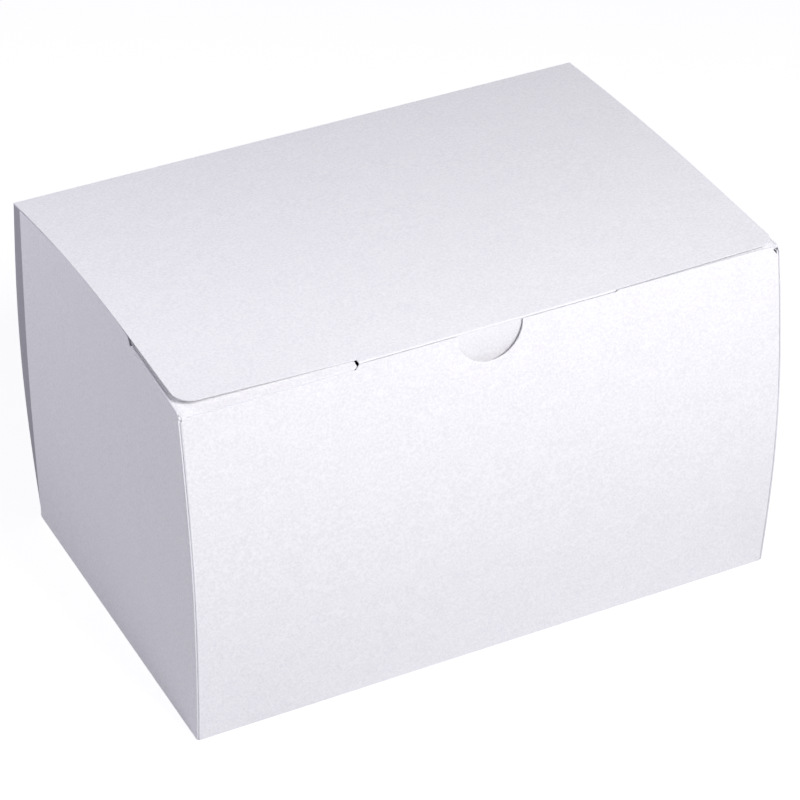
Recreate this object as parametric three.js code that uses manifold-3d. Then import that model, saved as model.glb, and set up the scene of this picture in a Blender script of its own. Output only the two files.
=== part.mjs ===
// Cake box: a one-piece paperboard carton, parted at its creases into panels, flaps and folds.
// Millimetres, +Z up, the front towards -Y, the origin on the table under the middle of the box.

import * as THREE from 'three';
import { mergeVertices } from 'three/addons/utils/BufferGeometryUtils.js';
import Module from 'manifold-3d';

const wasm = await Module();
wasm.setup();

// Carton and board
const boxWidth = 231;         // over the two side walls
const boxDepth = 153;         // over the straight edges of the front and back walls
const boxHeight = 139;        // table to the top of the lid's folds
const board = 0.5;            // thickness of the paperboard
const seam = 0.3;             // gap between two pieces that meet
const foldInside = 0.3;       // inside radius of a fixed fold

// Spring of the panels out of flat
const wallBow = 4.2;          // front and back walls, outwards at half height
const leftBow = 1.1;          // left wall, outwards at half height, at its rear end
const rightBow = 1;           // right wall, outwards at half height
const sideLean = 1.5;         // side walls, inwards at the middle of their top edges
const lidArchLeft = 5;        // lid's left edge, upwards between its two folds
const lidArchRight = 2.2;     // the same at its right edge
const lidLiftLeft = 2.4;      // lid's free front corner on the left, upwards
const lidLiftRight = 1;       // the same on the right

// Lid
const lidInsetLeft = 1.4;     // cut edge of the lid inside the left wall
const lidInsetRight = 0.8;    // cut edge of the lid inside the right wall
const lidSetback = 2;         // its free front edges, beside the tuck, behind the front wall's face
const lidNotch = 0.6;         // width of the slant between those edges and the tuck's fold
const lidCorner = 6.5;        // radius of its front corners

// Tuck flap and the top edge of the front wall
const tuckWidth = 98.6;
const tuckLength = 26;
const tuckCorner = 8;
const notchRadius = 12.7;     // thumb notch, half a circle
const frontDrop = 0.2;        // front wall's top edge below the lid, at the tuck
const shoulderLeft = 1.8;     // step down of that edge, left of the tuck
const shoulderRight = 0.5;    // the same on the right
const shoulderSlant = 1.4;    // width of those slanted steps

// Side walls and dust flaps
const dustDrop = 1.2;         // top of the dust flaps below the lid's folds, at the front
const dustRise = 1.5;         // how much higher the dust flap's rear end stands, under the arched lid
const dustReach = 44;         // length of the dust flap's fold, from the front corner
const dustTaper = 7;          // how much narrower the dust flap's free end is
const dustCorner = 5;
const dustClear = 0.6;        // dust flap to the tuck flap
const sideStep = 3.7;         // width of the rounded step from the cut top edge down to the dust fold
const rearTaper = 7.6;        // cut rear edge of the side wall, off the corner at the top
const rearFoot = 2.6;         // the same at the foot
const lidClear = 0.4;         // side wall's cut top edge to the lid above it

// Corner flaps, inside the side walls, and their glue
const cornerGap = 0.4;        // between the flap and the side wall
const cornerReach = 32;
const cornerTaper = 9;        // slant of the flap's upper and lower edges
const cornerDrop = 2.5;       // top edge of the front corner flaps below the box height
const glueFilm = 0.2;
const glueWidth = 12;
const glueMargin = 6;         // glue to the flap's free edge
const glueEnd = 22;           // glue to the ends of the flap

// Places that follow from the sizes above
const foldRadius = board + foldInside;
const beadRadius = board / 2;                    // a moving fold is a round bead on its hinge line
const beadEnd = beadRadius + seam;
const halfWidth = boxWidth / 2;
const halfDepth = boxDepth / 2;
const tuckHalf = tuckWidth / 2;
const hingeY = halfDepth;                        // the lid turns on the outer edge of the back wall
const hingeZ = boxHeight;
const backTop = boxHeight - board - seam;
const lidBase = boxHeight - board / 2;           // middle of the board at the lid's folds
const tuckY = -(halfDepth - board - seam - beadRadius);
const tuckZ = boxHeight - board - beadRadius;    // the tuck turns just under the lid's inner face
const lidReach = hingeY - tuckY;
const freeEdgeY = -(halfDepth - lidSetback);
const frontTop = boxHeight - frontDrop;
const wallFoot = foldRadius + seam;
const dustZ = boxHeight - dustDrop - board / 2;
const dustFrontY = -(halfDepth - board - seam) + seam;
const dustRearY = -halfDepth + dustReach;
const dustSlope = dustRise / (dustRearY - dustFrontY);
const cornerHeight = boxHeight - cornerDrop;

const lerp = THREE.MathUtils.lerp;
const clamp01 = (value) => THREE.MathUtils.clamp(value, 0, 1);
const steps = (count) => Array.from({ length: count + 1 }, (_, i) => i / count);

// Curved surfaces of the standing box

// 0 at the foot and the top of a wall, 1 at half height
function swell(z) {
  return Math.sin(Math.PI * clamp01((z - foldRadius) / (boxHeight - foldRadius)));
}

// distance of the front or back wall's outer face from the middle
function endFace(z) {
  return halfDepth + wallBow * swell(z);
}

// distance of a side wall's outer face from the middle: side is -1 on the left and 1 on the right
function sideFace(side, y, z) {
  const along = clamp01((y + halfDepth) / boxDepth);
  const bow = side > 0 ? rightBow : leftBow * along;
  const hollow = Math.max(Math.sin(Math.PI * along), 0) ** 0.75;
  return halfWidth + bow * swell(z) - sideLean * hollow * Math.sin((Math.PI / 2) * clamp01(z / boxHeight));
}

// middle of the rounded fold between a front or back wall and its corner flap
function cornerCentre(side, end, z) {
  return sideFace(side, end * halfDepth, z) - board - cornerGap - foldRadius;
}

// top of the front wall beside the tuck
function shoulderTop(side) {
  return frontTop - (side < 0 ? shoulderLeft : shoulderRight);
}

// height of the lid's middle surface
function lidHeight(x, y) {
  const t = clamp01((hingeY - y) / lidReach);
  const arch = lerp(lidArchLeft, lidArchRight, clamp01((x + halfWidth) / boxWidth));
  const beside = clamp01((Math.abs(x) - tuckHalf) / (halfWidth - tuckHalf));
  const lift = (x < 0 ? lidLiftLeft : lidLiftRight) * beside;
  return lidBase + 4 * arch * t * (1 - t) + lift * t ** 10;
}

// front edge of the lid: at the tuck's fold, and further back beside it
function lidFront(x) {
  return lerp(tuckY + beadEnd, freeEdgeY, clamp01((Math.abs(x) - tuckHalf) / lidNotch));
}

// distance of the dust flap's hinge line from the middle, straight between its two ends
function dustAxis(side, y) {
  const front = sideFace(side, dustFrontY, dustZ) - beadRadius;
  const rear = sideFace(side, dustRearY, dustZ) - beadRadius;
  return lerp(front, rear, (y - dustFrontY) / (dustRearY - dustFrontY));
}

// height of that line
function dustHeight(y) {
  return dustZ + dustSlope * (y - dustFrontY);
}

// Ways to make a closed body

function faceOutwards(geometry) {
  const p = geometry.getAttribute('position');
  const index = geometry.getIndex();
  const [a, b, c] = [new THREE.Vector3(), new THREE.Vector3(), new THREE.Vector3()];
  let volume = 0;
  for (let i = 0; i < index.count; i += 3) {
    a.fromBufferAttribute(p, index.getX(i));
    b.fromBufferAttribute(p, index.getX(i + 1));
    c.fromBufferAttribute(p, index.getX(i + 2));
    volume += a.dot(b.cross(c));
  }
  if (volume < 0) {
    index.array.reverse();
  }
  return geometry;
}

// A sheet between two skins: skinAt(u, v, side) gives a point of the outer skin for side 0, inner for 1
function sheet(us, vs, skinAt) {
  const positions = [];
  for (const side of [0, 1]) {
    for (const u of us) {
      for (const v of vs) {
        positions.push(...skinAt(u, v, side));
      }
    }
  }
  const [lastU, lastV] = [us.length - 1, vs.length - 1];
  const at = (side, i, j) => (side * us.length + i) * vs.length + j;
  const index = [];
  const quad = (a, b, c, d) => index.push(a, b, c, a, c, d);
  for (let i = 0; i < lastU; i++) {
    for (let j = 0; j < lastV; j++) {
      quad(at(0, i, j), at(0, i + 1, j), at(0, i + 1, j + 1), at(0, i, j + 1));
      quad(at(1, i, j), at(1, i, j + 1), at(1, i + 1, j + 1), at(1, i + 1, j));
    }
    quad(at(0, i, 0), at(1, i, 0), at(1, i + 1, 0), at(0, i + 1, 0));
    quad(at(0, i, lastV), at(0, i + 1, lastV), at(1, i + 1, lastV), at(1, i, lastV));
  }
  for (let j = 0; j < lastV; j++) {
    quad(at(0, 0, j), at(0, 0, j + 1), at(1, 0, j + 1), at(1, 0, j));
    quad(at(0, lastU, j + 1), at(0, lastU, j), at(1, lastU, j), at(1, lastU, j + 1));
  }
  const geometry = new THREE.BufferGeometry();
  geometry.setAttribute('position', new THREE.Float32BufferAttribute(positions, 3));
  geometry.setIndex(index);
  return faceOutwards(geometry);
}

function toSolid(geometry) {
  const plain = geometry.clone();
  plain.deleteAttribute('normal');
  plain.deleteAttribute('uv');
  const merged = mergeVertices(plain, 1e-4);
  const vertProperties = new Float32Array(merged.getAttribute('position').array);
  const triVerts = new Uint32Array(merged.getIndex().array);
  return new wasm.Manifold(new wasm.Mesh({ numProp: 3, vertProperties, triVerts }));
}

function cut(geometry, cutters) {
  let solid = toSolid(geometry);
  for (const cutter of cutters) {
    solid = solid.subtract(toSolid(cutter));
  }
  const mesh = solid.getMesh();
  const result = new THREE.BufferGeometry();
  result.setAttribute('position', new THREE.Float32BufferAttribute(mesh.vertProperties, 3));
  result.setIndex(Array.from(mesh.triVerts));
  return result;
}

// Columns across a sheet with two rounded corners: each has its place and how much it is cut short
function roundedColumns(from, to, radius, places) {
  const columns = [];
  const arc = 6;
  for (let i = 0; i < arc; i++) {
    const angle = (i / arc) * (Math.PI / 2);
    columns.push({ x: from + radius * (1 - Math.cos(angle)), cut: radius * (1 - Math.sin(angle)) });
  }
  for (const x of [from + radius, ...places, to - radius]) {
    columns.push({ x, cut: 0 });
  }
  for (let i = arc - 1; i >= 0; i--) {
    const angle = (i / arc) * (Math.PI / 2);
    columns.push({ x: to - radius * (1 - Math.cos(angle)), cut: radius * (1 - Math.sin(angle)) });
  }
  return columns;
}

// A quarter-round strip: placeAt(v, away, down) puts a point of its section at v along the fold
function foldStrip(lengthSteps, placeAt) {
  return sheet(steps(4), lengthSteps, (u, v, side) => {
    const radius = foldRadius - side * board;
    const angle = u * (Math.PI / 2);
    return placeAt(v, radius * Math.sin(angle), radius * Math.cos(angle));
  });
}

function bead(length) {
  return new THREE.CylinderGeometry(beadRadius, beadRadius, length, 12);
}

// The standing tray

function floorPanel() {
  const width = boxWidth - 2 * (foldRadius + seam);
  const depth = boxDepth - 2 * (foldRadius + seam);
  return new THREE.BoxGeometry(width, depth, board).translate(0, 0, board / 2);
}

function endPanel(end, top) {
  return sheet([0, 1], steps(14), (u, v, side) => {
    const z = lerp(wallFoot, top, v);
    const x = lerp(-cornerCentre(-1, end, z) + seam, cornerCentre(1, end, z) - seam, u);
    return [x, end * (endFace(z) - side * board), z];
  });
}

// Everything above the front wall's top edge: the slanted steps beside the tuck and the thumb notch
function frontCutters() {
  const above = 10;
  const through = 4 * (wallBow + board);
  const beside = [-1, 1].map((side) => {
    const low = shoulderTop(side);
    const outline = new THREE.Shape([
      new THREE.Vector2(side * boxWidth, low),
      new THREE.Vector2(side * (tuckHalf + shoulderSlant), low),
      new THREE.Vector2(side * tuckHalf, frontTop),
      new THREE.Vector2(side * tuckHalf, frontTop + above),
      new THREE.Vector2(side * boxWidth, frontTop + above),
    ]);
    return new THREE.ExtrudeGeometry(outline, { depth: through, bevelEnabled: false });
  });
  for (const geometry of beside) {
    geometry.rotateX(Math.PI / 2).translate(0, through / 2 - halfDepth, 0);
  }
  const notch = new THREE.CylinderGeometry(notchRadius, notchRadius, through, 48);
  return [...beside, notch.translate(0, -halfDepth, frontTop)];
}

// Top edge of a side wall: cut edge at the rear, rounded step, then low along the dust flap's fold
function sideTop(side, y) {
  const cutEdge = lidHeight(side * halfWidth, y) - board / 2 - lidClear;
  const t = clamp01((y - dustRearY - seam) / sideStep);
  return lerp(dustHeight(Math.min(y, dustRearY)) - beadEnd, cutEdge, Math.sin((Math.PI / 2) * t));
}

function sidePanel(side) {
  const kink = (dustReach + seam) / (boxDepth - rearTaper);
  const stepWidth = sideStep / (boxDepth - rearTaper);
  const columns = [
    ...steps(5).map((t) => t * kink),
    ...steps(5).slice(1).map((t) => kink + t * stepWidth),
    ...steps(12).slice(1).map((t) => lerp(kink + stepWidth, 1, t)),
  ];
  return sheet(columns, steps(14), (u, v, skin) => {
    const nominalY = lerp(-halfDepth, halfDepth - rearTaper, u);
    const z = lerp(wallFoot, sideTop(side, nominalY), v);
    const front = -(endFace(z) - seam);
    const rear = halfDepth - lerp(rearFoot, rearTaper, clamp01(z / boxHeight));
    const y = lerp(front, rear, u);
    return [side * (sideFace(side, y, z) - skin * board), y, z];
  });
}

function cornerFlap(side, end) {
  const top = end < 0 ? cornerHeight : backTop;
  return sheet(steps(6), steps(12), (u, v, skin) => {
    const low = wallFoot + u * cornerTaper;
    const z = lerp(low, top - u * cornerTaper, v);
    const y = end * lerp(endFace(z) - foldRadius - seam, halfDepth - cornerReach, u);
    return [side * (sideFace(side, y, z) - board - cornerGap - skin * board), y, z];
  });
}

function cornerGlue(side, end) {
  const gap = (cornerGap - glueFilm) / 2;
  return sheet(steps(2), steps(10), (u, v, skin) => {
    const y = end * (halfDepth - cornerReach + glueMargin + u * glueWidth);
    const z = lerp(wallFoot + glueEnd, cornerHeight - glueEnd, v);
    return [side * (sideFace(side, y, z) - board - gap - skin * glueFilm), y, z];
  });
}

function cornerFold(side, end) {
  const top = end < 0 ? shoulderTop(side) : backTop;
  return foldStrip(steps(14), (v, away, down) => {
    const z = lerp(wallFoot, top, v);
    return [side * (cornerCentre(side, end, z) + away), end * (endFace(z) - foldRadius + down), z];
  });
}

function endFloorFold(end) {
  return foldStrip([0, 1], (v, away, down) => {
    const x = lerp(-cornerCentre(-1, end, 0) + seam, cornerCentre(1, end, 0) - seam, v);
    return [x, end * (halfDepth - foldRadius + away), foldRadius - down];
  });
}

function sideFloorFold(side) {
  const reach = halfDepth - rearFoot;
  return foldStrip([0, 1], (v, away, down) => {
    return [side * (halfWidth - foldRadius + away), lerp(-reach, reach, v), foldRadius - down];
  });
}

// Lid, tuck flap and dust flaps

function lidPanel() {
  const left = -halfWidth + lidInsetLeft;
  const right = halfWidth - lidInsetRight;
  const tuckEnd = tuckHalf + lidNotch;
  const places = [
    ...steps(4).slice(1).map((t) => lerp(left + lidCorner, -tuckEnd, t)),
    ...steps(6).map((t) => lerp(-tuckHalf, tuckHalf, t)),
    ...steps(4).slice(0, -1).map((t) => lerp(tuckEnd, right - lidCorner, t)),
  ];
  return sheet(roundedColumns(left, right, lidCorner, places), steps(16), (column, v, side) => {
    const y = lerp(hingeY - beadEnd, lidFront(column.x) + column.cut, v);
    return [column.x, y, lidHeight(column.x, y) + (0.5 - side) * board];
  });
}

function lidFold() {
  const reach = cornerCentre(-1, 1, boxHeight) - seam;
  return bead(2 * reach).rotateZ(Math.PI / 2).translate(0, hingeY, hingeZ);
}

function tuckFold() {
  return bead(tuckWidth).rotateZ(Math.PI / 2).translate(0, tuckY, tuckZ);
}

// The tuck flap hangs along a circle round the lid's hinge, so it slides out behind the front wall
function tuckFlap() {
  const columns = roundedColumns(-tuckHalf + seam, tuckHalf - seam, tuckCorner, [0]);
  const foldDrop = hingeZ - tuckZ;
  const middle = Math.hypot(lidReach, foldDrop);
  return sheet(columns, steps(6), (column, v, side) => {
    const radius = middle + (0.5 - side) * board;
    const angle = (foldDrop + lerp(beadEnd, tuckLength - column.cut, v)) / middle;
    return [column.x, hingeY - radius * Math.cos(angle), hingeZ - radius * Math.sin(angle)];
  });
}

function dustFlap(side) {
  const inner = tuckHalf + dustClear;
  const near = (y) => dustAxis(side, y) - beadEnd;
  const free = dustRearY - seam - dustTaper;
  const outline = new THREE.Shape();
  outline.moveTo(side * near(dustFrontY), dustFrontY);
  outline.lineTo(side * (inner + dustCorner), dustFrontY);
  outline.quadraticCurveTo(side * inner, dustFrontY, side * inner, dustFrontY + dustCorner);
  outline.lineTo(side * inner, free - dustCorner);
  outline.quadraticCurveTo(side * inner, free, side * (inner + dustCorner), free);
  outline.lineTo(side * near(dustRearY - seam), dustRearY - seam);
  outline.closePath();
  const flap = new THREE.ExtrudeGeometry(outline, { depth: board, bevelEnabled: false, curveSegments: 6 });
  flap.applyMatrix4(new THREE.Matrix4().makeShear(0, 0, 0, dustSlope, 0, 0));
  return flap.translate(0, 0, dustHeight(0) - board / 2);
}

function dustFold(side) {
  const [front, rear] = [dustFrontY, dustRearY - seam].map((y) => {
    return new THREE.Vector3(side * dustAxis(side, y), y, dustHeight(y));
  });
  const line = rear.clone().sub(front);
  const turn = new THREE.Quaternion();
  turn.setFromUnitVectors(new THREE.Vector3(0, 1, 0), line.clone().normalize());
  const middle = front.clone().add(rear).divideScalar(2);
  return bead(line.length()).applyQuaternion(turn).translate(middle.x, middle.y, middle.z);
}

// Finishes

const bleachedBoard = { color: 0xf3f3f8, roughness: 0.62 };
const scoredBoard = { color: 0xf7f7fa, roughness: 0.7 };
const driedGlue = { color: 0xe6dcc0, roughness: 0.35 };

const box = new THREE.Group();

function add(name, geometry, finish) {
  const mesh = new THREE.Mesh(geometry, new THREE.MeshStandardMaterial({ ...finish, metalness: 0 }));
  mesh.name = name;
  box.add(mesh);
}

const sides = [['left', -1], ['right', 1]];
const ends = [['front', -1], ['back', 1]];

add('floor_panel', floorPanel(), bleachedBoard);
add('front_panel', cut(endPanel(-1, frontTop), frontCutters()), bleachedBoard);
add('back_panel', endPanel(1, backTop), bleachedBoard);
for (const [sideName, side] of sides) {
  add(`${sideName}_side_panel`, sidePanel(side), bleachedBoard);
  add(`${sideName}_floor_crease`, sideFloorFold(side), scoredBoard);
  add(`${sideName}_dust_flap`, dustFlap(side), bleachedBoard);
  add(`${sideName}_dust_crease`, dustFold(side), scoredBoard);
}
for (const [endName, end] of ends) {
  add(`${endName}_floor_crease`, endFloorFold(end), scoredBoard);
  for (const [sideName, side] of sides) {
    add(`${endName}_${sideName}_corner_flap`, cornerFlap(side, end), bleachedBoard);
    add(`${endName}_${sideName}_corner_crease`, cornerFold(side, end), scoredBoard);
    add(`${endName}_${sideName}_corner_glue`, cornerGlue(side, end), driedGlue);
  }
}
add('lid_panel', lidPanel(), bleachedBoard);
add('lid_crease', lidFold(), scoredBoard);
add('tuck_crease', tuckFold(), scoredBoard);
add('tuck_flap', tuckFlap(), bleachedBoard);

// The two side walls bow by different amounts, so the middle of the whole box is found from its pieces
const extent = new THREE.Box3().setFromObject(box);
box.position.x = -(extent.min.x + extent.max.x) / 2;

// Hinge lines of the moving pieces
const shift = box.position.x;
console.log('lid hinge at', [shift, hingeY, hingeZ], 'tuck hinge at', [shift, tuckY, tuckZ]);
for (const [sideName, side] of sides) {
  const [front, rear] = [dustFrontY, dustRearY].map((y) => {
    return new THREE.Vector3(side * dustAxis(side, y) + shift, y, dustHeight(y));
  });
  console.log(sideName, 'dust hinge at', front.toArray(), 'along', rear.sub(front).normalize().toArray());
}

export default box;
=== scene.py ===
# Cake box in white paperboard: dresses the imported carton, then sets the camera and the studio
import math
import bpy
from mathutils import Matrix, Vector, noise


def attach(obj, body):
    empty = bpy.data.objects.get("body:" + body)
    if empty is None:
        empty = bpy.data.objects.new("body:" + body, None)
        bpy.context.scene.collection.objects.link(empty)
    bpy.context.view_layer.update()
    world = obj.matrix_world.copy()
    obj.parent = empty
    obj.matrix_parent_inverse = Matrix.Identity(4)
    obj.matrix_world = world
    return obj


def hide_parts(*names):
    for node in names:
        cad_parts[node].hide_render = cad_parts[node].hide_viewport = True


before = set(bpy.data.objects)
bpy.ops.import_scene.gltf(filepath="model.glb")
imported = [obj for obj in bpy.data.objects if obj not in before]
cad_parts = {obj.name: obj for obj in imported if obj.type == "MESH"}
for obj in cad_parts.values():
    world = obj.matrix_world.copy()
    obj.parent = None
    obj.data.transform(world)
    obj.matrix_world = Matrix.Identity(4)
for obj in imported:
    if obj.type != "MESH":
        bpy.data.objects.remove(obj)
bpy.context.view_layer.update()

scene = bpy.context.scene
scene.view_settings.view_transform = "Standard"

# sizes of the carton, in mm
carton = {
    "width": 231.0,         # over the side walls
    "depth": 153.0,
    "height": 139.0,
    "board": 0.5,
    "middle": -0.0624,      # the side walls bow unequally, so the carton's middle is off the origin
    "foldRadius": 0.5,      # outside of every fold
    "wallBow": 4.2,         # front and back walls spring out this much at half height
    "leftBow": 1.1,         # left wall too, at its rear end
    "rightBow": 1.0,
    "sideLean": 1.5,        # side walls are drawn in at the middle of their top edges
    "leanEase": 0.75,       # under 1 spreads that towards the corners
    "leftPinch": 0.15,      # the left one more, along the dust flap's fold
    "pinchReach": 0.62,     # share of the depth from the front
    "pinchEase": 0.5,
    "rippleHeight": 0.1,    # the board is never quite flat
    "rippleLength": 55.0,
    "rippleShift": (0.0, 7.3, 3.1),
}
board = carton["board"]
foldRadius = carton["foldRadius"]
halfWidth = carton["width"] / 2
halfDepth = carton["depth"] / 2
boxHeight = carton["height"]
foldY = halfDepth - foldRadius          # middle of the fold between the back wall and the lid
foldZ = boxHeight - foldRadius


def clamp01(value):
    return min(1.0, max(0.0, value))


def lerp(a, b, t):
    return a + (b - a) * t


def steps(count):
    return [i / count for i in range(count + 1)]


def spaced(ends, count):
    return [lerp(ends[0], ends[1], t) for t in steps(count)]


# colours and nodes

def hexToLinear(text):
    def channel(pair):
        value = int(pair, 16) / 255
        return value / 12.92 if value <= 0.04045 else ((value + 0.055) / 1.055) ** 2.4
    return tuple(channel(text[i:i + 2]) for i in (1, 3, 5)) + (1.0,)


def addNode(tree, kind, settings=None, links=None):
    made = tree.nodes.new(kind)
    for key, value in (settings or {}).items():
        if key in made.inputs:
            made.inputs[key].default_value = value
        else:
            setattr(made, key, value)
    for key, source in (links or {}).items():
        tree.links.new(source, made.inputs[key])
    return made


# how the pulp is mixed, the same for every board. Sizes of clouds and grain are in mm: real fibres are about
# 0.03 mm wide, too fine to show from here, so the grain is drawn coarser
pulp = {
    "cloudDetail": 3.0, "cloudRoughness": 0.55,
    "grainDetail": 4.0, "grainRoughness": 0.7,
    "grainShare": 0.88,             # the grain's share of the tone, against the clouds'
    "thinAt": 0.36, "denseAt": 0.62,
    "glossSpread": 0.06,
    "bumpDistance": 0.0001,
}


def boardMaterial(name, look):
    material = bpy.data.materials.new(name)
    material.use_nodes = True
    tree = material.node_tree
    tree.nodes.clear()
    place = addNode(tree, "ShaderNodeTexCoord").outputs["Object"]
    # clouds of denser and thinner pulp
    clouds = addNode(tree, "ShaderNodeTexNoise", {
        "Scale": 1000 / look["cloudSize"], "Detail": pulp["cloudDetail"],
        "Roughness": pulp["cloudRoughness"]}, {"Vector": place})
    # fibres and fine grain of the surface
    grain = addNode(tree, "ShaderNodeTexNoise", {
        "Scale": 1000 / look["grainSize"], "Detail": pulp["grainDetail"],
        "Roughness": pulp["grainRoughness"]}, {"Vector": place})
    tone = addNode(tree, "ShaderNodeMix", {"data_type": "FLOAT", "Factor": pulp["grainShare"]},
                   {"A": clouds.outputs["Fac"], "B": grain.outputs["Fac"]})
    colour = addNode(tree, "ShaderNodeValToRGB", links={"Fac": tone.outputs["Result"]})
    for stop, end in zip(colour.color_ramp.elements, ("thin", "dense")):
        stop.position = pulp[end + "At"]
        stop.color = hexToLinear(look[end])
    spread = pulp["glossSpread"]
    gloss = addNode(tree, "ShaderNodeMapRange", {
        "To Min": look["roughness"] - spread, "To Max": look["roughness"] + spread},
        {"Value": clouds.outputs["Fac"]})
    bump = addNode(tree, "ShaderNodeBump", {"Strength": look["bump"], "Distance": pulp["bumpDistance"]},
                   {"Height": grain.outputs["Fac"]})
    shader = addNode(tree, "ShaderNodeBsdfPrincipled", {"IOR": look["ior"]},
                     {"Base Color": colour.outputs["Color"], "Roughness": gloss.outputs["Result"],
                      "Normal": bump.outputs["Normal"]})
    addNode(tree, "ShaderNodeOutputMaterial", links={"Surface": shader.outputs["BSDF"]})
    return material


# solid bleached board, clay coated and calendered on its outside: near white, faintly blue, a dull sheen
coatedBoard = boardMaterial("clayCoatedBoard", {
    "thin": "#EBEAEE", "dense": "#FAF9FB", "cloudSize": 9, "grainSize": 0.9, "roughness": 0.52, "bump": 0.35,
    "ior": 1.5})
# the same board's uncoated side, which is matt and a little warmer
plainBoard = boardMaterial("uncoatedBoard", {
    "thin": "#E9E8E8", "dense": "#F1F0EF", "cloudSize": 6, "grainSize": 0.7, "roughness": 0.82, "bump": 0.6,
    "ior": 1.45})
# die-cut edge: torn and cut fibres, rough and without gloss
cutBoard = boardMaterial("dieCutEdge", {
    "thin": "#E4E4E9", "dense": "#F2F2F6", "cloudSize": 3, "grainSize": 0.4, "roughness": 0.9, "bump": 0.8,
    "ior": 1.45})
# scored fold: the coating is pressed and lightly crazed along the line
scoredBoard = boardMaterial("scoredBoard", {
    "thin": "#F0F0F5", "dense": "#FDFDFF", "cloudSize": 4, "grainSize": 0.5, "roughness": 0.7, "bump": 0.7,
    "ior": 1.48})
# painted shade: board tinted grey to stand in for the shade on the corner flaps where they show behind the
# side walls' rear edges, and on the back corner folds, which turn away from the light
paintedShadeBoard = boardMaterial("paintedShadeGrey", {
    "thin": "#ACABB1", "dense": "#B9B8BD", "cloudSize": 4, "grainSize": 0.7, "roughness": 0.88, "bump": 0.6,
    "ior": 1.45})
# hot-melt glue, cooled: cream and waxy
hotMelt = boardMaterial("hotMeltGlue", {
    "thin": "#D9CDA8", "dense": "#E8DFC4", "cloudSize": 5, "grainSize": 1.5, "roughness": 0.35, "bump": 0.3,
    "ior": 1.48})
print("materials made")


# the sprung shape of the standing carton

def ripple(x, y, z):
    place = Vector((x, y, z)) / carton["rippleLength"] + Vector(carton["rippleShift"])
    return carton["rippleHeight"] * noise.noise(place)


def swell(z):
    return math.sin(math.pi * clamp01((z - foldRadius) / (boxHeight - foldRadius)))


def endFace(z):
    return halfDepth + carton["wallBow"] * swell(z)


def sideFace(side, y, z):
    along = clamp01((y + halfDepth) / carton["depth"])
    bow = carton["rightBow"] if side > 0 else carton["leftBow"] * along
    lean = carton["sideLean"] * max(math.sin(math.pi * along), 0.0) ** carton["leanEase"]
    if side < 0:
        pinch = max(math.sin(math.pi * clamp01(along / carton["pinchReach"])), 0.0)
        lean += carton["leftPinch"] * pinch ** carton["pinchEase"]
    lean *= math.sin(math.pi / 2 * clamp01(z / boxHeight))
    return halfWidth + bow * swell(z) - lean


def cornerGap(end):
    return cornerFlap["gapAtFold" if end > 0 else "gapTight"]


def cornerCentre(side, end, z):
    return sideFace(side, end * halfDepth, z) - board - cornerGap(end) - foldRadius


# closed pieces of board

edge = {
    "wear": 0.07,           # mm that the cut edges are rounded by
    "wearSteps": 2,
    "sharpFrom": 50.0,      # degrees
}


# skinAt(column, row, skin) gives a point on the board, with skin 0 for its outside and 1 for its inside
def boardPiece(name, body, node, columns, rows, skinAt, outside=coatedBoard):
    positions = []
    for skin in (0, 1):
        for u in columns:
            for v in rows:
                x, y, z = skinAt(u, v, skin)
                positions.append(((x + carton["middle"]) / 1000, y / 1000, z / 1000))
    wide, high = len(columns), len(rows)

    def at(skin, i, j):
        return (skin * wide + i) * high + j

    faces = []
    finishes = []
    for i in range(wide - 1):
        for j in range(high - 1):
            faces.append((at(0, i, j), at(0, i + 1, j), at(0, i + 1, j + 1), at(0, i, j + 1)))
            faces.append((at(1, i, j), at(1, i, j + 1), at(1, i + 1, j + 1), at(1, i + 1, j)))
            finishes += [0, 1]
        faces.append((at(0, i, 0), at(1, i, 0), at(1, i + 1, 0), at(0, i + 1, 0)))
        top = high - 1
        faces.append((at(0, i, top), at(0, i + 1, top), at(1, i + 1, top), at(1, i, top)))
        finishes += [2, 2]
    for j in range(high - 1):
        last = wide - 1
        faces.append((at(0, 0, j), at(0, 0, j + 1), at(1, 0, j + 1), at(1, 0, j)))
        faces.append((at(0, last, j + 1), at(0, last, j), at(1, last, j), at(1, last, j + 1)))
        finishes += [2, 2]

    # a mirrored piece comes out inside out, which its volume tells
    points = [Vector(p) for p in positions]
    volume = 0.0
    for a, b, c, d in faces:
        volume += points[a].dot(points[b].cross(points[c])) + points[a].dot(points[c].cross(points[d]))
    if volume < 0:
        faces = [tuple(reversed(face)) for face in faces]

    mesh = bpy.data.meshes.new(name)
    mesh.from_pydata(positions, [], faces)
    for material in (outside, plainBoard, cutBoard):
        mesh.materials.append(material)
    for polygon, finish in zip(mesh.polygons, finishes):
        polygon.material_index = finish
        polygon.use_smooth = True
    mesh.set_sharp_from_angle(angle=math.radians(edge["sharpFrom"]))
    piece = bpy.data.objects.new(name, mesh)
    scene.collection.objects.link(piece)
    soften = piece.modifiers.new("cutEdgeWear", "BEVEL")
    soften.width = edge["wear"] / 1000
    soften.segments = edge["wearSteps"]
    soften.limit_method = "ANGLE"
    soften.angle_limit = math.radians(edge["sharpFrom"])
    soften.material = -1
    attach(piece, body)
    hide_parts(node)


# walls

frontWall = {
    "tuckHalf": 49.3,       # the raised middle of the top edge, where the tuck flap goes in
    "topDrop": 0.64,        # just under the tuck's fold
    "shoulderLeft": 1.74,   # how far the edge steps down beside it, under the left dust flap
    "shoulderRight": -0.5,  # on the right it stands higher, up to the lid's edge
    "slant": 1.4,
    "level": 0.6,           # width beyond the slant, from where the columns follow the corner
    "notchRadius": 12.7,
    "notchSide": 0.4,       # from the notch to the next column
    "nickWidth": 2.6,       # the right end is cut away beside the corner
    "nickDepth": 3.8,
    "riseWidth": 2.6,       # the left end rises to the dust flap, which is flat beside its fold
    "riseHeight": 1.25,
    "closeColumns": [0.98, 0.987, 0.994, 1.0],      # beside the corner
}


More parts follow.
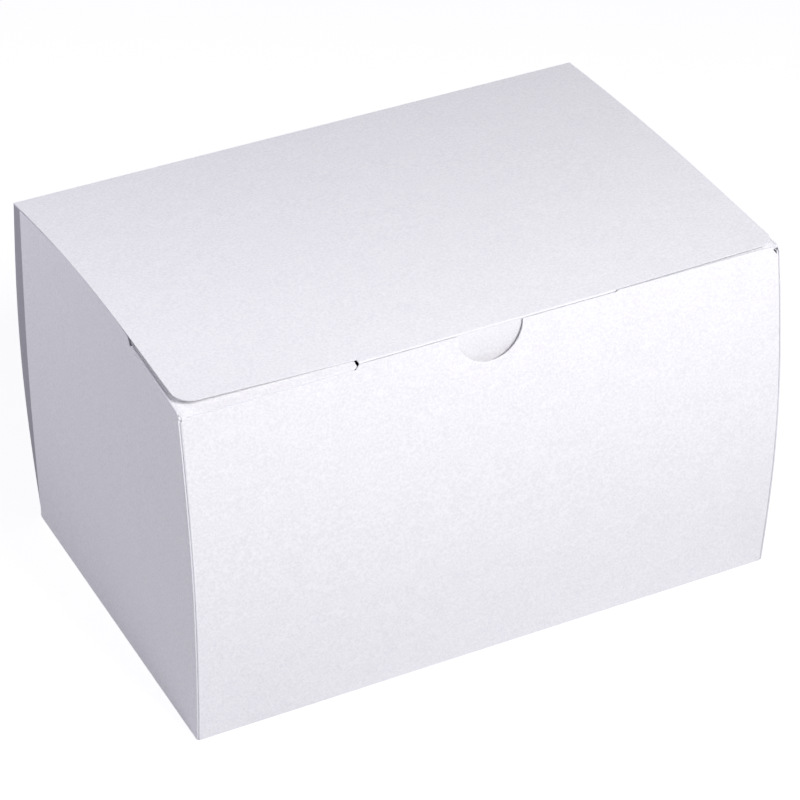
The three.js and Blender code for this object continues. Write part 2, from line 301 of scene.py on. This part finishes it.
def frontTop(x):
    top = boxHeight - frontWall["topDrop"]
    away = abs(x) - frontWall["tuckHalf"]
    if abs(x) < frontWall["notchRadius"]:
        return top - math.sqrt(frontWall["notchRadius"] ** 2 - x * x)
    shoulder = frontWall["shoulderLeft"] if x < 0 else frontWall["shoulderRight"]
    return top - shoulder * clamp01(away / frontWall["slant"])


def makeFrontWall():
    radius = frontWall["notchRadius"]
    tuckHalf = frontWall["tuckHalf"]
    right = [radius * math.sin(math.pi / 2 * t) for t in steps(24)]
    right += spaced((radius + frontWall["notchSide"], tuckHalf), 16)
    right += spaced((tuckHalf + frontWall["notchSide"] / 2, tuckHalf + frontWall["slant"]), 4)
    ends = tuckHalf + frontWall["slant"] + frontWall["level"]
    outside = steps(26)[:-1] + frontWall["closeColumns"]

    def wallAt(u, v, skin):
        side, value = u
        top = frontTop(value if side == 0 else side * ends)
        if side != 0:
            width, change = ("riseWidth", "riseHeight") if side < 0 else ("nickWidth", "nickDepth")
            fromEnd = (1 - value) * (halfWidth - ends)
            top -= side * frontWall[change] * clamp01(1 - fromEnd / frontWall[width])
        z = lerp(foldRadius, top, v)
        x = value if side == 0 else side * lerp(ends, cornerCentre(side, -1, z), value)
        y = -(endFace(z) - skin * board + ripple(x, -halfDepth, z))
        return x, y, z

    columns = [(-1, t) for t in reversed(outside)]
    columns += [(0, -x) for x in reversed(right[1:])] + [(0, x) for x in right]
    columns += [(1, t) for t in outside]
    boardPiece("frontWall", "tray", "front_panel", columns, steps(64), wallAt)


def makeBackWall():
    def wallAt(u, v, skin):
        z = lerp(foldRadius, foldZ, v)
        x = lerp(-cornerCentre(-1, 1, z), cornerCentre(1, 1, z), u)
        return x, endFace(z) - skin * board + ripple(x, halfDepth, z), z

    boardPiece("backWall", "tray", "back_panel", steps(90), steps(60), wallAt)


sideWall = {
    "dustDrop": 0.6,        # dust flaps lie this far below the lid's folds, at the front
    "dustRise": 1.5,        # and this much higher at their rear end
    "dustReach": 44.0,      # length of the fold that carries the dust flap
    "dustStart": 0.6,       # behind the front wall's inner face
    "step": 2.2,            # rounded step from the cut top edge down to that fold
    "lidClear": 0.15,       # cut top edge bears on the lid, which it arches
    "rearTaper": 7.6,       # rear edge is cut back from the corner at the top
    "rearFoot": 2.6,
    "frontSetBack": 0.3,    # front edge stops behind the front wall's face
    "setBackTight": 0.08,   # nearly flush on the right
    "frontCorner": 2.2,
}
dustZ = boxHeight - sideWall["dustDrop"] - board / 2
dustFrontY = -(halfDepth - board - sideWall["dustStart"])
dustRearY = -halfDepth + sideWall["dustReach"]


def dustHeight(y):
    return dustZ + sideWall["dustRise"] * (y - dustFrontY) / (dustRearY - dustFrontY)


def sideTop(side, y):
    cutEdge = lidHeight(side * halfWidth, y) - board / 2 - sideWall["lidClear"]
    t = clamp01((y - dustRearY) / sideWall["step"])
    high = lerp(dustHeight(min(y, dustRearY)), cutEdge, math.sin(math.pi / 2 * t))
    corner = sideWall["frontCorner"]
    inset = clamp01((y + halfDepth) / corner)
    return high - corner * (1 - math.sqrt(1 - (1 - inset) ** 2))


def makeSideWall(side, name, node):
    length = carton["depth"] - sideWall["rearTaper"]
    corner = sideWall["frontCorner"] / length
    kink = sideWall["dustReach"] / length
    stepEnd = kink + sideWall["step"] / length
    columns = [corner * (1 - math.cos(math.pi / 2 * t)) for t in steps(6)]
    columns += spaced((corner, kink), 18)[1:]
    columns += spaced((kink, stepEnd), 8)[1:]
    columns += spaced((stepEnd, 1.0), 40)[1:]

    def wallAt(u, v, skin):
        plainY = lerp(-halfDepth, halfDepth - sideWall["rearTaper"], u)
        z = lerp(foldRadius, sideTop(side, plainY), v)
        front = -(endFace(z) - sideWall["frontSetBack" if side < 0 else "setBackTight"])
        rear = halfDepth - lerp(sideWall["rearFoot"], sideWall["rearTaper"], clamp01(z / boxHeight))
        y = lerp(front, rear, u)
        x = side * (sideFace(side, y, z) - skin * board + ripple(side * halfWidth, y, z))
        return x, y, z

    boardPiece(name, "tray", node, columns, steps(60), wallAt)


def makeFloor():
    def floorAt(u, v, skin):
        x = lerp(-(halfWidth - foldRadius), halfWidth - foldRadius, u)
        y = lerp(-(halfDepth - foldRadius), halfDepth - foldRadius, v)
        return x, y, skin * board

    boardPiece("floorBoard", "tray", "floor_panel", steps(24), steps(16), floorAt)


# corner flaps, folded in behind the side walls and glued

cornerFlap = {
    "reach": 32.0,
    "taper": 9.0,
    "frontDrop": 2.5,       # room for the dust flaps
    "backDrop": 0.7,
    "shoulder": 0.3,        # share of the reach before the slant of its ends begins
    "gapAtFold": 0.35,      # to the side wall
    "gapTight": 0.06,       # nearly closed at the front
    "gapAtGlue": 0.4,
    "gapReach": 0.25,       # share of the reach in which the gap changes
    "foot": 0.3,            # above the floor's fold
}


def makeCornerFlap(side, end, name, node):
    drop = cornerFlap["frontDrop"] if end < 0 else cornerFlap["backDrop"]

    def flapAt(u, v, skin):
        shoulder = cornerFlap["shoulder"]
        slant = cornerFlap["taper"] * clamp01((u - shoulder) / (1 - shoulder))
        z = lerp(foldRadius + cornerFlap["foot"] + slant, boxHeight - drop - slant, v)
        y = end * lerp(endFace(z) - foldRadius, halfDepth - cornerFlap["reach"], u)
        gap = lerp(cornerGap(end), cornerFlap["gapAtGlue"], clamp01(u / cornerFlap["gapReach"]))
        x = side * (sideFace(side, y, z) - board - gap - skin * board + ripple(side * halfWidth, y, z))
        return x, y, z

    # outside of each corner flap carries the painted-shade grey
    boardPiece(name, "tray", node, steps(20), steps(48), flapAt, outside=paintedShadeBoard)


# lid, tuck flap and dust flaps

lid = {
    "archLeft": 5.0,        # springs up between its two folds
    "archRight": 2.2,
    "liftLeft": 2.4,        # free front corners stand off the box
    "liftRight": 1.0,
    "liftEase": 10,         # the lift comes in the last few mm
    "insetLeft": 1.6,       # at the front, less towards the hinge
    "spreadLeft": 0.9,
    "spreadEase": 8,
    "insetRight": 0.8,
    "corner": 6.5,
    "setbackLeft": 2.5,     # cut front edges, behind the front wall's face
    "setbackRight": 1.0,
    "middle": 0.85,         # the middle of its front edge bears on the tuck's fold
    "slit": 0.02,           # half the width of the step between the middle and the cut edges
    "slitClear": 1.2,       # no other column this close to it
}
tuck = {
    "half": 49.3,
    "length": 26.0,
    "corner": 8.0,
    "clear": 0.3,           # to the ends of its fold, and to the front wall
    "relief": 0.4,          # its inner face starts lower, so that it can turn in under the lid
}
tuckFoldY = -(halfDepth - board - tuck["clear"] - foldRadius)
lidReach = halfDepth - tuckFoldY


def lidHeight(x, y):
    t = clamp01((halfDepth - y) / lidReach)
    arch = lerp(lid["archLeft"], lid["archRight"], clamp01((x + halfWidth) / carton["width"]))
    lift = lid["liftLeft"] if x < 0 else lid["liftRight"]
    lift *= clamp01((abs(x) - tuck["half"]) / (halfWidth - tuck["half"]))
    return boxHeight - board / 2 + 4 * arch * t * (1 - t) + lift * t ** lid["liftEase"]


def roundedColumns(low, high, radius, count, arc=10):
    turn = [i / arc * math.pi / 2 for i in range(arc)]
    rounded = [(radius * (1 - math.cos(a)), radius * (1 - math.sin(a))) for a in turn]
    columns = [(low + x, cut) for x, cut in rounded]
    columns += [(x, 0.0) for x in spaced((low + radius, high - radius), count)]
    columns += [(high - x, cut) for x, cut in reversed(rounded)]
    return columns


def makeLid():
    low = -halfWidth + lid["insetLeft"]
    high = halfWidth - lid["insetRight"]
    half = tuck["half"]
    columns = roundedColumns(low, high, lid["corner"], 60)
    columns = [column for column in columns if abs(abs(column[0]) - half) > lid["slitClear"]]
    for side in (-1, 1):
        columns += [(side * (half + lid["slit"]), 0.0), (side * (half - lid["slit"]), 0.0)]
    columns.sort()

    def lidAt(column, v, skin):
        x, cut = column
        setback = lid["middle"]
        if abs(x) > half:
            setback = lid["setbackLeft" if x < 0 else "setbackRight"]
        y = lerp(foldY, cut + setback - halfDepth, v)
        z = lidHeight(x, y) + (0.5 - skin) * board + ripple(x, y, boxHeight) * math.sin(math.pi * v)
        x -= lid["spreadLeft"] * clamp01(-x / halfWidth) ** lid["spreadEase"] * (1 - v) ** 2
        return x, y, z

    boardPiece("lidBoard", "lid", "lid_panel", columns, steps(70), lidAt)


def makeTuckFlap():
    half = tuck["half"] - tuck["clear"]
    columns = roundedColumns(-half, half, tuck["corner"], 40)

    def flapAt(column, v, skin):
        x, cut = column
        radius = lidReach + foldRadius - board / 2 + (0.5 - skin) * board
        angle = (foldRadius + lerp(skin * tuck["relief"], tuck["length"] - cut, v)) / lidReach
        return x, halfDepth - radius * math.cos(angle), boxHeight - radius * math.sin(angle)

    boardPiece("tuckFlap", "tuck_flap", "tuck_flap", columns, steps(14), flapAt)


dust = {
    "clear": 0.6,
    "taper": 7.0,
    "corner": 5.0,          # at the free rear corner
    "frontCorner": 0.6,
    "frontGap": 0.1,        # to the front wall
    "frontRoll": 1.25,      # its front margin bends down over the wall
    "rollReach": 6.0,
    "rollStart": 0.04,      # shares of its length over which the roll and the spring begin
    "springStart": 0.05,
    "rearPast": 3.2,        # past the fold's end at the wall, then a little short of it
    "rearShort": 0.3,
    "rearStart": 0.125,
    "tuckIn": 0.12,         # behind the fold's end the flap lies inside the wall
    "tuckInAhead": 0.6,
    "tuckInOver": 0.3,
    "springLeft": 2.3,      # the rear corner by the wall springs up towards the lid
    "springRight": 0.2,     # less room under the lid here
    "springReach": 9.0,
    "springAhead": 0.65,    # share of that reach that lies before the fold's end
    "holdAhead": 0.5,       # up to here the fold holds the flap down
    "holdOver": 2.0,
    "overSlant": 0.6,       # width in which the left flap comes out over the front wall
    "closeColumns": [0.0, 0.004, 0.012],            # beside the fold
    "columnsFrom": 0.03,
}


def dustAxis(side, y):
    return sideFace(side, y, dustHeight(y)) - foldRadius


def dustFront(side, x):
    inside = endFace(dustZ) - board - dust["frontGap"]
    if side > 0:
        return -inside
    # the left flap lies on the lowered shoulder of the front wall
    slantEnd = frontWall["tuckHalf"] + frontWall["slant"]
    over = clamp01((abs(x) - slantEnd) / dust["overSlant"])
    return -lerp(inside, endFace(dustZ) - dust["frontGap"], over)


def makeDustFlap(side, name, node):
    inner = tuck["half"] + dust["clear"]
    span = halfWidth - inner
    corner = dust["corner"]
    tip = dust["frontCorner"]
    plain = dust["closeColumns"] + spaced((dust["columnsFrom"], 1 - corner / span), 24)
    columns = [(along, 0.0, 0.0) for along in plain]
    for i in range(1, 13):
        a = i / 12 * math.pi / 2
        away = corner * (1 - math.sin(a))
        front = tip - math.sqrt(tip ** 2 - max(0.0, tip - away) ** 2)
        columns.append((1 - away / span, front, corner * (1 - math.cos(a))))

    def flapAt(column, v, skin):
        along, frontCut, rearCut = column
        front = dustFront(side, lerp(halfWidth, inner, along)) + frontCut
        past = lerp(dust["rearPast"], -dust["rearShort"], clamp01(along / dust["rearStart"]))
        rear = dustRearY + past - dust["taper"] * along - rearCut
        y = lerp(front, rear, v)
        inside = dust["tuckIn"] * clamp01((y - dustRearY + dust["tuckInAhead"]) / dust["tuckInOver"])
        x = side * (lerp(dustAxis(side, y), inner, along) - inside * (1 - along))
        rise = dust["springLeft" if side < 0 else "springRight"]
        rise *= clamp01((y - dustRearY) / dust["springReach"] + dust["springAhead"]) ** 2
        held = clamp01((dustRearY - y - dust["holdAhead"]) / dust["holdOver"])
        rise *= lerp(1.0, clamp01(along / dust["springStart"]), held) * (1 - along)
        roll = dust["frontRoll"] * clamp01((dust["rollReach"] - halfDepth - y) / dust["rollReach"]) ** 2
        roll *= clamp01(along / dust["rollStart"])
        return x, y, dustHeight(y) + rise - roll + (0.5 - skin) * board

    boardPiece(name, node, node, columns, steps(60), flapAt)


# folds: a bead of pressed board along each fold's path

fold = {
    "crackDepth": 0.06,
    "crackLength": 1.6,
    "step": 0.8,
    "seed": 4,
    "sides": 14,
    "leftNick": 0.9,        # the front left corner's fold stops short of the top
    "tuckRadius": 0.28,     # the tuck's fold is sharper
    "tuckForward": 0.2,
    "dustEnd": 0.3,         # dust folds stop before the step
    "dustTurn": 0.2,        # share of the rounded front corner that the left one leaves out
    "floorStart": 0.6,
}


def foldTree():
    tree = bpy.data.node_groups.new("scoredFold", "GeometryNodeTree")
    face = tree.interface
    face.new_socket("Geometry", in_out="INPUT", socket_type="NodeSocketGeometry")
    for label in ("Bead Radius", "Crack Depth", "Crack Length", "Step"):
        face.new_socket(label, in_out="INPUT", socket_type="NodeSocketFloat")
    face.new_socket("Seed", in_out="INPUT", socket_type="NodeSocketInt")
    face.new_socket("Board", in_out="INPUT", socket_type="NodeSocketMaterial")
    face.new_socket("Geometry", in_out="OUTPUT", socket_type="NodeSocketGeometry")
    given = addNode(tree, "NodeGroupInput").outputs
    path = addNode(tree, "GeometryNodeMeshToCurve", links={"Mesh": given["Geometry"]})
    path = addNode(tree, "GeometryNodeResampleCurve", {"mode": "LENGTH"},
                   {"Curve": path.outputs["Curve"], "Length": given["Step"]})
    ring = addNode(tree, "GeometryNodeCurvePrimitiveCircle", {"Resolution": fold["sides"]},
                   {"Radius": given["Bead Radius"]})
    bead = addNode(tree, "GeometryNodeCurveToMesh", {"Fill Caps": True},
                   {"Curve": path.outputs["Curve"], "Profile Curve": ring.outputs["Curve"]})
    scale = addNode(tree, "ShaderNodeMath", {"operation": "DIVIDE"}, {1: given["Crack Length"]})
    scale.inputs[0].default_value = 1.0
    cracks = addNode(tree, "ShaderNodeTexNoise", {"noise_dimensions": "4D", "Detail": 2.0},
                     {"Vector": addNode(tree, "GeometryNodeInputPosition").outputs["Position"],
                      "W": given["Seed"], "Scale": scale.outputs["Value"]})
    centred = addNode(tree, "ShaderNodeMath", {"operation": "SUBTRACT"}, {0: cracks.outputs["Fac"]})
    depth = addNode(tree, "ShaderNodeMath", {"operation": "MULTIPLY"},
                    {0: centred.outputs["Value"], 1: given["Crack Depth"]})
    outwards = addNode(tree, "GeometryNodeInputNormal").outputs["Normal"]
    push = addNode(tree, "ShaderNodeVectorMath", {"operation": "SCALE"},
                   {0: outwards, "Scale": depth.outputs["Value"]})
    worn = addNode(tree, "GeometryNodeSetPosition", links={"Geometry": bead.outputs["Mesh"],
                                                           "Offset": push.outputs["Vector"]})
    smooth = addNode(tree, "GeometryNodeSetShadeSmooth", links={"Geometry": worn.outputs["Geometry"]})
    real = addNode(tree, "GeometryNodeRealizeInstances", links={"Geometry": smooth.outputs["Geometry"]})
    coated = addNode(tree, "GeometryNodeSetMaterial", links={"Geometry": real.outputs["Geometry"],
                                                             "Material": given["Board"]})
    addNode(tree, "NodeGroupOutput", links={"Geometry": coated.outputs["Geometry"]})
    return tree


scoredFold = foldTree()


def makeFold(name, body, node, path, finish=scoredBoard, radius=foldRadius):
    line = bpy.data.meshes.new(name + "Path")
    points = [((x + carton["middle"]) / 1000, y / 1000, z / 1000) for x, y, z in path]
    line.from_pydata(points, [(i, i + 1) for i in range(len(points) - 1)], [])
    piece = bpy.data.objects.new(name, line)
    scene.collection.objects.link(piece)
    modifier = piece.modifiers.new("scoredFold", "NODES")
    modifier.node_group = scoredFold
    values = {
        "Bead Radius": radius / 1000,
        "Crack Depth": fold["crackDepth"] / 1000,
        "Crack Length": fold["crackLength"] / 1000,
        "Step": fold["step"] / 1000,
        "Seed": fold["seed"],
        "Board": finish,
    }
    for item in scoredFold.interface.items_tree:
        if item.in_out == "INPUT" and item.name in values:
            modifier[item.identifier] = values[item.name]
    made = piece.evaluated_get(bpy.context.evaluated_depsgraph_get())
    mesh = bpy.data.meshes.new_from_object(made)
    piece.modifiers.remove(modifier)
    piece.data = mesh
    mesh.name = name
    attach(piece, body)
    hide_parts(node)


def dustFoldPath(side):
    corner = sideWall["frontCorner"]
    rear = dustRearY - fold["dustEnd"]
    path = []
    if side > 0:
        # the right corner is left open where its wall is rounded off
        return [(dustAxis(1, y), y, dustHeight(y)) for y in spaced((dustFrontY, rear), 20)]
    for a in steps(8):
        inset = 1 - math.cos(math.pi / 2 * lerp(fold["dustTurn"], 1.0, a))
        y = -halfDepth + corner * inset
        drop = corner * (1 - math.sqrt(1 - (1 - inset) ** 2))
        path.append((side * dustAxis(side, y), y, dustHeight(y) - drop))
    straight = spaced((path[-1][1], rear), 20)[1:]
    return path + [(side * dustAxis(side, y), y, dustHeight(y)) for y in straight]


def makeFolds():
    foot = foldRadius
    for end, label in ((-1, "front"), (1, "back")):
        y = end * (halfDepth - foot)
        ends = (-cornerCentre(-1, end, 0), cornerCentre(1, end, 0))
        makeFold(label + "FloorFold", "tray", label + "_floor_crease",
                 [(x, y, foot) for x in spaced(ends, 20)])
    for side, label in ((-1, "left"), (1, "right")):
        reach = halfDepth - sideWall["rearFoot"]
        x = side * (halfWidth - foot)
        makeFold(label + "FloorFold", "tray", label + "_floor_crease",
                 [(x, y, foot) for y in spaced((-halfDepth + fold["floorStart"], reach), 20)])
        makeFold(label + "DustFold", "tray", label + "_dust_crease", dustFoldPath(side))
        for end, endLabel in ((-1, "front"), (1, "back")):
            cut = frontWall["nickDepth"] if side > 0 else fold["leftNick"]
            top = frontTop(side * halfWidth) - cut if end < 0 else foldZ
            places = [(side * cornerCentre(side, end, z), end * (endFace(z) - foot), z)
                      for z in spaced((foot, top), 60)]
            # back corner folds carry the painted-shade grey, front ones the white scored board
            makeFold(endLabel + label.capitalize() + "CornerFold", "tray",
                     endLabel + "_" + label + "_corner_crease", places, scoredBoard if end < 0 else paintedShadeBoard)
    reach = cornerCentre(-1, 1, boxHeight) + foldRadius
    makeFold("lidFold", "tray", "lid_crease", [(x, foldY, foldZ) for x in spaced((-reach, reach), 20)])
    sharp = fold["tuckRadius"]
    tuckY = lid["middle"] - halfDepth - fold["tuckForward"]
    makeFold("tuckFold", "lid", "tuck_crease",
             [(x, tuckY, boxHeight - sharp) for x in spaced((-tuck["half"], tuck["half"]), 20)], radius=sharp)


makeFloor()
makeFrontWall()
makeBackWall()
makeSideWall(-1, "leftWall", "left_side_panel")
makeSideWall(1, "rightWall", "right_side_panel")
print("walls made")
for side, sideLabel in ((-1, "left"), (1, "right")):
    for end, endLabel in ((-1, "front"), (1, "back")):
        makeCornerFlap(side, end, endLabel + sideLabel.capitalize() + "CornerFlap",
                       endLabel + "_" + sideLabel + "_corner_flap")
print("corner flaps made")
makeLid()
makeTuckFlap()
makeDustFlap(-1, "leftDustFlap", "left_dust_flap")
makeDustFlap(1, "rightDustFlap", "right_dust_flap")
print("lid and flaps made")
makeFolds()
print("folds made")


# glue stays as packed, with its own finish

for name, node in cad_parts.items():
    if name.endswith("_glue"):
        for slot in node.material_slots:
            slot.material = hotMelt


# camera, at the photographed angle

view = {
    "place": (-0.44486, -0.9225, 0.7555),
    "look": (0.3615, 0.7453, -0.5603),
    "level": (0.89584, -0.44420, -0.01291),
    "lens": 150.3,
    "sensor": 36.0,
    "clipStart": 0.01,
}


def makeCamera():
    data = bpy.data.cameras.new("photoView")
    data.lens = view["lens"]
    data.sensor_width = view["sensor"]
    data.clip_start = view["clipStart"]
    camera = bpy.data.objects.new("photoView", data)
    back = -Vector(view["look"]).normalized()
    right = Vector(view["level"])
    right = (right - back * right.dot(back)).normalized()
    up = back.cross(right)
    turn = Matrix((right, up, back)).transposed().to_4x4()
    camera.matrix_world = Matrix.Translation(view["place"]) @ turn
    scene.collection.objects.link(camera)
    scene.camera = camera


# studio

studio = {
    "keyPlace": (0.17, -0.81, 0.78), "keySize": 0.4, "keyPower": 10.3, "keyColour": "#FFFFFF",
    "sidePlace": (-0.52, 0.3, 0.5), "sideSize": 0.25, "sidePower": 1.8, "sideColour": "#F8F7FF",
    "aim": (0, 0, 0.07),                    # middle of the box
    "sky": "#D5D2EC", "skyStrength": 0.17,
    "floor": "#C1C0C4",                     # what it throws back at the box
    "floorReach": 6.0,
    "shade": (0.3, 0.3, 0.31, 1),           # what it shows of the shadow
    "glow": 0.84,
}


def makeLamp(label):
    data = bpy.data.lights.new(label + "Lamp", "AREA")
    data.shape = "SQUARE"
    data.size = studio[label + "Size"]
    data.energy = studio[label + "Power"]
    data.color = hexToLinear(studio[label + "Colour"])[:3]
    lamp = bpy.data.objects.new(label + "Lamp", data)
    place = Vector(studio[label + "Place"])
    aim = Vector(studio["aim"]) - place
    lamp.matrix_world = Matrix.Translation(place) @ aim.to_track_quat("-Z", "Y").to_matrix().to_4x4()
    scene.collection.objects.link(lamp)


# 1 where the camera sees the surface, also in gloss and through glass, 0 where it lights the box
def seenDirectly(tree):
    path = addNode(tree, "ShaderNodeLightPath").outputs
    either = addNode(tree, "ShaderNodeMath", {"operation": "MAXIMUM"},
                     {0: path["Is Camera Ray"], 1: path["Is Glossy Ray"]})
    return addNode(tree, "ShaderNodeMath", {"operation": "MAXIMUM"},
                   {0: either.outputs["Value"], 1: path["Is Transmission Ray"]}).outputs["Value"]


def makeWorld():
    world = bpy.data.worlds.new("studioSky")
    scene.world = world
    world.use_nodes = True
    tree = world.node_tree
    tree.nodes.clear()
    sky = addNode(tree, "ShaderNodeBackground", {"Color": hexToLinear(studio["sky"]),
                                                 "Strength": studio["skyStrength"]})
    white = addNode(tree, "ShaderNodeBackground", {"Color": (1, 1, 1, 1), "Strength": 1.0})
    mix = addNode(tree, "ShaderNodeMixShader", links={
        "Fac": seenDirectly(tree), 1: sky.outputs["Background"], 2: white.outputs["Background"]})
    addNode(tree, "ShaderNodeOutputWorld", links={"Surface": mix.outputs["Shader"]})


def makeFloorStage():
    mesh = bpy.data.meshes.new("studioFloor")
    reach = studio["floorReach"]
    corners = [(-reach, -reach, 0), (reach, -reach, 0), (reach, reach, 0), (-reach, reach, 0)]
    mesh.from_pydata(corners, [], [(0, 1, 2, 3)])
    table = bpy.data.objects.new("studioFloor", mesh)
    scene.collection.objects.link(table)
    material = bpy.data.materials.new("whiteSweep")
    material.use_nodes = True
    tree = material.node_tree
    tree.nodes.clear()
    bounce = addNode(tree, "ShaderNodeBsdfDiffuse", {"Color": hexToLinear(studio["floor"])})
    shade = addNode(tree, "ShaderNodeBsdfDiffuse", {"Color": studio["shade"]})
    glow = addNode(tree, "ShaderNodeEmission", {"Color": (1, 1, 1, 1), "Strength": studio["glow"]})
    shown = addNode(tree, "ShaderNodeAddShader", links={0: shade.outputs["BSDF"], 1: glow.outputs["Emission"]})
    mix = addNode(tree, "ShaderNodeMixShader", links={
        "Fac": seenDirectly(tree), 1: bounce.outputs["BSDF"], 2: shown.outputs["Shader"]})
    addNode(tree, "ShaderNodeOutputMaterial", links={"Surface": mix.outputs["Shader"]})
    mesh.materials.append(material)


makeCamera()
makeLamp("key")
makeLamp("side")
makeWorld()
makeFloorStage()
print("camera and studio made")
